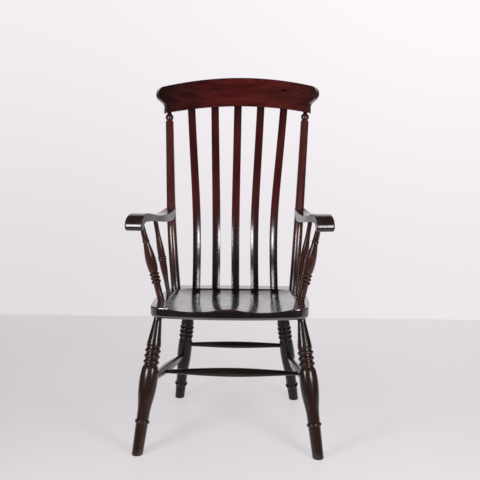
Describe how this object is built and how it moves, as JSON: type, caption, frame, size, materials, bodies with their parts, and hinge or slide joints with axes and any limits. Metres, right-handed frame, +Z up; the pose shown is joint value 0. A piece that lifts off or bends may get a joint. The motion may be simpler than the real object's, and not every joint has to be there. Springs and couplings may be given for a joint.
{
  "type": "windsor armchair",
  "caption": "High lath-back Windsor armchair with a saddled plank seat, turned and splayed legs, bar stretchers, scrolled arms on turned uprights, and a curved crest rail on bowed posts.",
  "frame": {"origin": "on the floor, under the middle of the chair's bounding box", "axes": "+Z up, +X to the right as seen by someone facing the chair, +Y to the back; the sitter looks along -Y"},
  "size_m": [0.6322, 0.6888, 1.1644],
  "materials": {
    "seat_wood": "dark stain, gloss polish",
    "leg_wood": "dark stain, gloss polish",
    "stretcher_wood": "dark stain, gloss polish",
    "post_wood": "red-brown stain, gloss polish",
    "lath_wood": "red-brown stain, gloss polish",
    "crest_wood": "red-brown stain, gloss polish",
    "arm_wood": "dark stain, gloss polish",
    "upright_wood": "dark stain, gloss polish",
    "screw_steel": "dulled steel",
    "peg_wood": "dark stain, end grain"
  },
  "bodies": {
    "root": {"seat": "seat_wood", "front_left_leg": "leg_wood", "front_right_leg": "leg_wood", "rear_left_leg": "leg_wood", "rear_right_leg": "leg_wood", "left_side_stretcher": "stretcher_wood", "right_side_stretcher": "stretcher_wood", "front_cross_stretcher": "stretcher_wood", "rear_stretcher": "stretcher_wood", "left_back_post": "post_wood", "right_back_post": "post_wood", "back_lath_1": "lath_wood", "back_lath_2": "lath_wood", "back_lath_3": "lath_wood", "back_lath_4": "lath_wood", "back_lath_5": "lath_wood", "crest_rail": "crest_wood", "left_arm": "arm_wood", "right_arm": "arm_wood", "left_front_arm_support": "upright_wood", "right_front_arm_support": "upright_wood", "left_rear_arm_spindle": "upright_wood", "right_rear_arm_spindle": "upright_wood", "arm_screws": "screw_steel", "crest_pegs": "peg_wood"}
  },
  "joints": []
}
